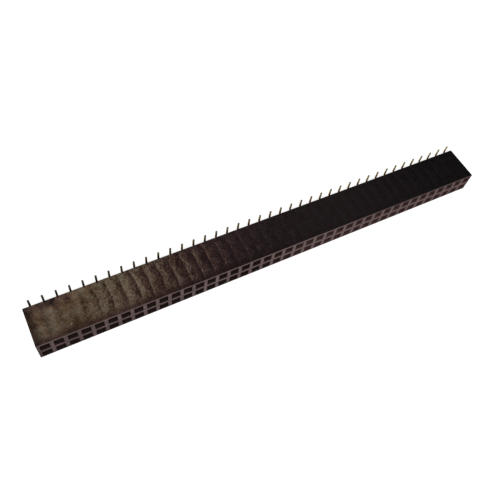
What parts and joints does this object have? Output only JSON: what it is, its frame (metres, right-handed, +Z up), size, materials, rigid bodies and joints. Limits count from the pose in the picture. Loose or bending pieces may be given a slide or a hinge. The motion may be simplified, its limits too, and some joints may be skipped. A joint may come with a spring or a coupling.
{
  "type": "female pin header strip",
  "caption": "Long black plastic socket strip with rows of square holes in its mating face and thin gold-coloured metal feet bent outward under both sides for surface mounting.",
  "frame": {"origin": "middle of the strip on the board plane, which is the underside of the feet", "axes": "+X along the strip, +Y across the rows towards one side wall, +Z up out of the sockets"},
  "size_m": [0.102, 0.0074, 0.0089],
  "materials": {
    "housing": "satin moulded black",
    "contact": "stamped and thinly gold plated"
  },
  "bodies": {
    "root": {"housing": "housing", "contact_pair_01": "contact", "contact_pair_02": "contact", "contact_pair_03": "contact", "contact_pair_04": "contact", "contact_pair_05": "contact", "contact_pair_06": "contact", "contact_pair_07": "contact", "contact_pair_08": "contact", "contact_pair_09": "contact", "contact_pair_10": "contact", "contact_pair_11": "contact", "contact_pair_12": "contact", "contact_pair_13": "contact", "contact_pair_14": "contact", "contact_pair_15": "contact", "contact_pair_16": "contact", "contact_pair_17": "contact", "contact_pair_18": "contact", "contact_pair_19": "contact", "contact_pair_20": "contact", "contact_pair_21": "contact", "contact_pair_22": "contact", "contact_pair_23": "contact", "contact_pair_24": "contact", "contact_pair_25": "contact", "contact_pair_26": "contact", "contact_pair_27": "contact", "contact_pair_28": "contact", "contact_pair_29": "contact", "contact_pair_30": "contact", "contact_pair_31": "contact", "contact_pair_32": "contact", "contact_pair_33": "contact", "contact_pair_34": "contact", "contact_pair_35": "contact", "contact_pair_36": "contact", "contact_pair_37": "contact", "contact_pair_38": "contact", "contact_pair_39": "contact", "contact_pair_40": "contact"}
  },
  "joints": []
}
